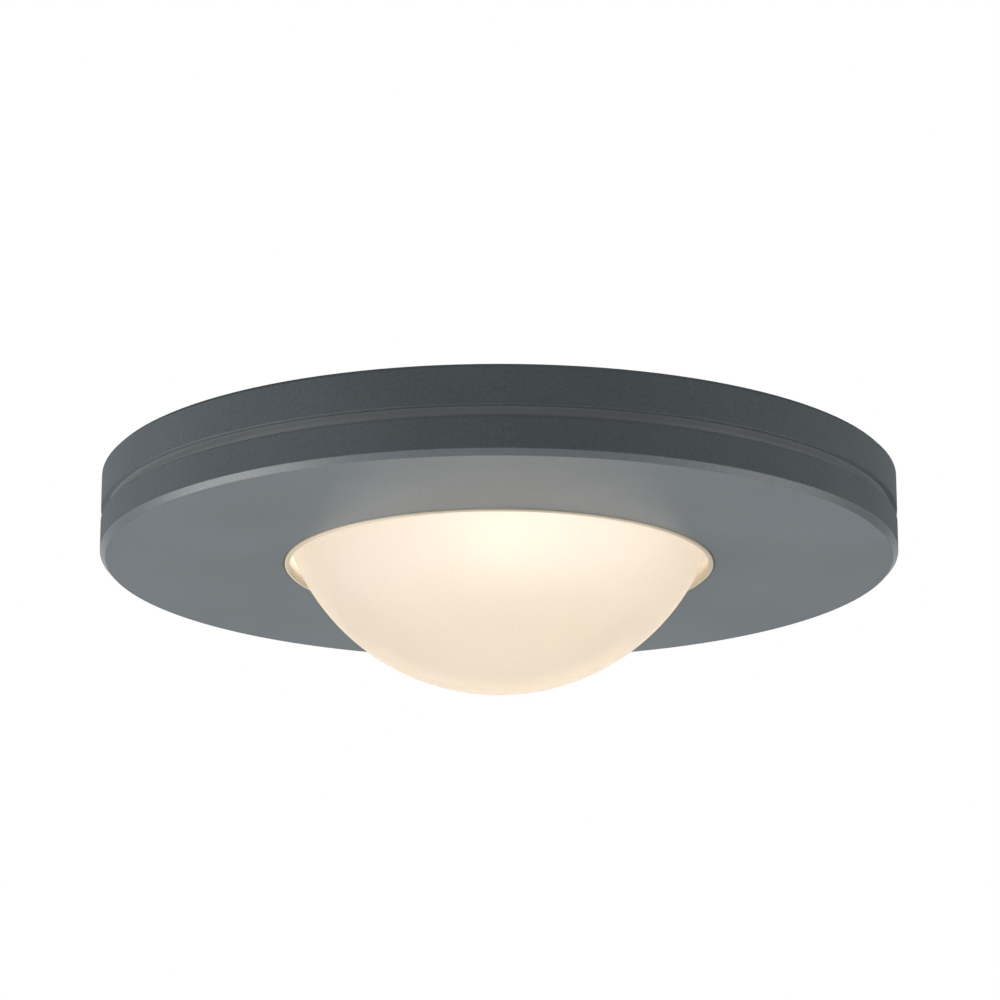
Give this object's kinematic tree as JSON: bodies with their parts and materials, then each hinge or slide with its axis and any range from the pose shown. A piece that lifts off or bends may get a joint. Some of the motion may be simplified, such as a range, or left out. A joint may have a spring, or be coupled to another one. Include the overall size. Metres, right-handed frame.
{
  "type": "disk light",
  "caption": "Flat round surface-mount ceiling light with a screw-on face ring, a frosted glass dome and an LED board inside.",
  "frame": {"origin": "centre of the housing's back face, where it meets the ceiling", "axes": "+Z points into the ceiling along the disk's axis, +X through the two mounting holes, +Y towards the cable entry"},
  "size_m": [0.07, 0.07, 0.0187],
  "materials": {
    "painted_aluminium": "satin",
    "foam_rubber": "matte",
    "black_rubber": "matte",
    "thermal_silicone": "matte",
    "white_board": "satin",
    "led_ceramic": "matte",
    "led_silicone": "gloss",
    "chip_epoxy": "matte",
    "tinned_metal": "satin",
    "ferrite": "matte",
    "capacitor_ceramic": "matte",
    "resistor_ceramic": "satin",
    "terminal_plastic": "satin",
    "white_plastic": "satin",
    "steel_screw": "satin",
    "frosted_glass": "matte",
    "clear_silicone": "satin"
  },
  "bodies": {
    "housing": {"housing": "painted_aluminium", "rear_gasket": "foam_rubber", "cable_grommet": "black_rubber", "thermal_pad": "thermal_silicone", "light_board": "white_board", "led_package": "led_ceramic", "led_dome": "led_silicone", "rectifier": "chip_epoxy", "rectifier_leads": "tinned_metal", "driver_chip": "chip_epoxy", "driver_chip_leads": "tinned_metal", "power_inductor": "ferrite", "capacitors": "capacitor_ceramic", "catch_diode": "chip_epoxy", "diode_leads": "tinned_metal", "sense_resistors": "resistor_ceramic", "terminal_block": "terminal_plastic", "terminal_contacts": "tinned_metal", "reflector": "white_plastic", "reflector_screws": "steel_screw"},
    "lens_stack": {"lens": "frosted_glass", "lens_cushion": "clear_silicone"},
    "trim": {"trim_ring": "painted_aluminium", "lens_gasket": "clear_silicone", "trim_seal": "black_rubber"}
  },
  "joints": [
    {"name": "trim_drop", "type": "slide", "parent": "housing", "child": "lens_stack", "axis": [0, 0, -1], "range_m": [0, 0.00182]},
    {"name": "trim_turn", "type": "hinge", "parent": "lens_stack", "child": "trim", "pos_m": [0, 0, -0.0042], "axis": [0, 0, -1], "range_deg": [0, 540]}
  ],
  "couplings": [
    {"joint": "trim_drop", "follows": "trim_turn", "m_per_rad": 0.00019099}
  ]
}
